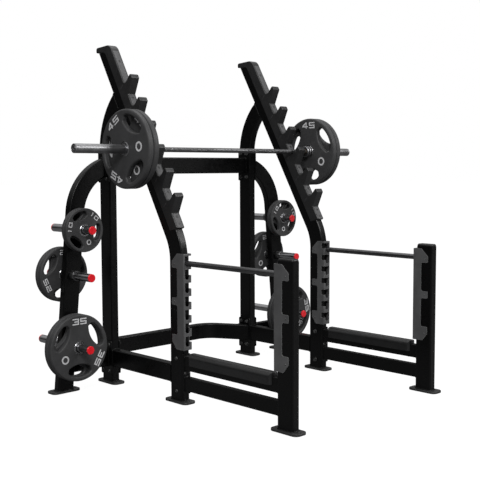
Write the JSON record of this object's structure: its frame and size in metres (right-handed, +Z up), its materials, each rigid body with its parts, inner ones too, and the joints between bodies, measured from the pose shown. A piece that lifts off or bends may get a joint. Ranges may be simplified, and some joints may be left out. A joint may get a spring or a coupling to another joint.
{
  "type": "squat rack with barbell and plate storage",
  "caption": "Squat rack with leaning hooked uprights, front columns with safety bars, plate storage legs, a barbell and weight plates.",
  "frame": {"origin": "on the floor, under the centre of the bounding box, on the plane between the two side frames", "axes": "+Z up, +X towards the right side frame as seen by a lifter facing the uprights, -Y towards the front columns"},
  "size_m": [2.2, 1.8136, 1.985],
  "materials": {
    "black_frame": "textured powder coat, semi-gloss",
    "hook_moulding": "fine-grained moulding over steel",
    "wear_strip": "smooth wear plastic",
    "bracket_paint": "satin charcoal powder coat",
    "moulded_cover": "fine-grained moulding",
    "black_plastic": "satin",
    "red_cap": "satin gloss",
    "horn_steel": "polished",
    "black_fastener": "black oxide",
    "safety_bar_steel": "satin",
    "shaft_steel": "knurled and satin",
    "sleeve_chrome": "satin chrome",
    "bronze": "turned",
    "rubber_weight": "moulded rubber"
  },
  "bodies": {
    "rack": {"left_main_upright": "black_frame", "right_main_upright": "black_frame", "left_rear_post": "black_frame", "right_rear_post": "black_frame", "side_rails": "black_frame", "upper_crossbar": "black_frame", "lower_crossmember": "black_frame", "left_arch_leg": "black_frame", "right_arch_leg": "black_frame", "outrigger_tubes": "black_frame", "left_front_column": "black_frame", "right_front_column": "black_frame", "column_caps": "black_plastic", "bumper_tubes": "black_frame", "lower_brace_tubes": "black_frame", "left_bumper_cover": "moulded_cover", "right_bumper_cover": "moulded_cover", "left_hook_rail": "hook_moulding", "right_hook_rail": "hook_moulding", "wear_strips": "wear_strip", "left_rear_bracket": "bracket_paint", "right_rear_bracket": "bracket_paint", "left_front_bracket": "bracket_paint", "right_front_bracket": "bracket_paint", "upper_flange_plates": "black_frame", "lower_flange_plates": "black_frame", "subframe_flange_plates": "black_frame", "foot_plates": "black_frame", "storage_horns": "horn_steel", "horn_collars": "black_frame", "horn_end_caps": "red_cap", "frame_bolts": "black_fastener", "cover_and_bracket_screws": "black_fastener"},
    "barbell": {"bar_shaft": "shaft_steel", "left_retaining_ring": "sleeve_chrome", "right_retaining_ring": "sleeve_chrome"},
    "left_sleeve_body": {"left_sleeve": "sleeve_chrome", "left_sleeve_bushings": "bronze", "left_sleeve_end_cap": "sleeve_chrome"},
    "left_safety": {"left_safety_bar": "safety_bar_steel"},
    "right_sleeve_body": {"right_sleeve": "sleeve_chrome", "right_sleeve_bushings": "bronze", "right_sleeve_end_cap": "sleeve_chrome"},
    "right_safety": {"right_safety_bar": "safety_bar_steel"},
    "left_inner_45_plate": {"left_inner_45": "rubber_weight"},
    "left_outer_45_plate": {"left_outer_45": "rubber_weight"},
    "left_inner_35_plate": {"left_inner_35": "rubber_weight"},
    "left_outer_35_plate": {"left_outer_35": "rubber_weight"},
    "left_inner_25_plate": {"left_inner_25": "rubber_weight"},
    "left_outer_25_plate": {"left_outer_25": "rubber_weight"},
    "left_inner_10_plate": {"left_inner_10": "rubber_weight"},
    "left_outer_10_plate": {"left_outer_10": "rubber_weight"},
    "right_inner_45_plate": {"right_inner_45": "rubber_weight"},
    "right_outer_45_plate": {"right_outer_45": "rubber_weight"},
    "right_inner_35_plate": {"right_inner_35": "rubber_weight"},
    "right_outer_35_plate": {"right_outer_35": "rubber_weight"},
    "right_inner_25_plate": {"right_inner_25": "rubber_weight"},
    "right_outer_25_plate": {"right_outer_25": "rubber_weight"},
    "right_inner_10_plate": {"right_inner_10": "rubber_weight"},
    "right_outer_10_plate": {"right_outer_10": "rubber_weight"}
  },
  "joints": [
    {"name": "barbell_lift", "type": "slide", "parent": "rack", "child": "barbell", "axis": [0, -0.6534, 0.757], "range_m": [0, 0.4]},
    {"name": "left_sleeve_spin", "type": "hinge", "parent": "barbell", "child": "left_sleeve_body", "pos_m": [-0.89, 0.19773, 1.37993], "axis": [1, 0, 0], "continuous": true},
    {"name": "left_safety_lift", "type": "slide", "parent": "rack", "child": "left_safety", "axis": [0, 0, 1], "range_m": [0, 0.025]},
    {"name": "left_inner_45_slide", "type": "slide", "parent": "left_sleeve_body", "child": "left_inner_45_plate", "axis": [-1, 0, 0], "range_m": [0, 0.395]},
    {"name": "left_outer_45_slide", "type": "slide", "parent": "left_inner_45_plate", "child": "left_outer_45_plate", "axis": [-1, 0, 0], "range_m": [0, 0.36]},
    {"name": "left_inner_35_slide", "type": "slide", "parent": "rack", "child": "left_inner_35_plate", "axis": [0, -1, 0], "range_m": [0, 0.19]},
    {"name": "left_outer_35_slide", "type": "slide", "parent": "left_inner_35_plate", "child": "left_outer_35_plate", "axis": [0, -1, 0], "range_m": [0, 0.16]},
    {"name": "left_inner_25_slide", "type": "slide", "parent": "rack", "child": "left_inner_25_plate", "axis": [0, 1, 0], "range_m": [0, 0.17]},
    {"name": "left_outer_25_slide", "type": "slide", "parent": "left_inner_25_plate", "child": "left_outer_25_plate", "axis": [0, 1, 0], "range_m": [0, 0.14]},
    {"name": "left_inner_10_slide", "type": "slide", "parent": "rack", "child": "left_inner_10_plate", "axis": [0, -1, 0], "range_m": [0, 0.15]},
    {"name": "left_outer_10_slide", "type": "slide", "parent": "left_inner_10_plate", "child": "left_outer_10_plate", "axis": [0, -1, 0], "range_m": [0, 0.12]},
    {"name": "right_sleeve_spin", "type": "hinge", "parent": "barbell", "child": "right_sleeve_body", "pos_m": [0.89, 0.19773, 1.37993], "axis": [1, 0, 0], "continuous": true},
    {"name": "right_safety_lift", "type": "slide", "parent": "rack", "child": "right_safety", "axis": [0, 0, 1], "range_m": [0, 0.025]},
    {"name": "right_inner_45_slide", "type": "slide", "parent": "right_sleeve_body", "child": "right_inner_45_plate", "axis": [1, 0, 0], "range_m": [0, 0.395]},
    {"name": "right_outer_45_slide", "type": "slide", "parent": "right_inner_45_plate", "child": "right_outer_45_plate", "axis": [1, 0, 0], "range_m": [0, 0.36]},
    {"name": "right_inner_35_slide", "type": "slide", "parent": "rack", "child": "right_inner_35_plate", "axis": [0, -1, 0], "range_m": [0, 0.19]},
    {"name": "right_outer_35_slide", "type": "slide", "parent": "right_inner_35_plate", "child": "right_outer_35_plate", "axis": [0, -1, 0], "range_m": [0, 0.16]},
    {"name": "right_inner_25_slide", "type": "slide", "parent": "rack", "child": "right_inner_25_plate", "axis": [0, 1, 0], "range_m": [0, 0.17]},
    {"name": "right_outer_25_slide", "type": "slide", "parent": "right_inner_25_plate", "child": "right_outer_25_plate", "axis": [0, 1, 0], "range_m": [0, 0.14]},
    {"name": "right_inner_10_slide", "type": "slide", "parent": "rack", "child": "right_inner_10_plate", "axis": [0, -1, 0], "range_m": [0, 0.15]},
    {"name": "right_outer_10_slide", "type": "slide", "parent": "right_inner_10_plate", "child": "right_outer_10_plate", "axis": [0, -1, 0], "range_m": [0, 0.12]}
  ]
}
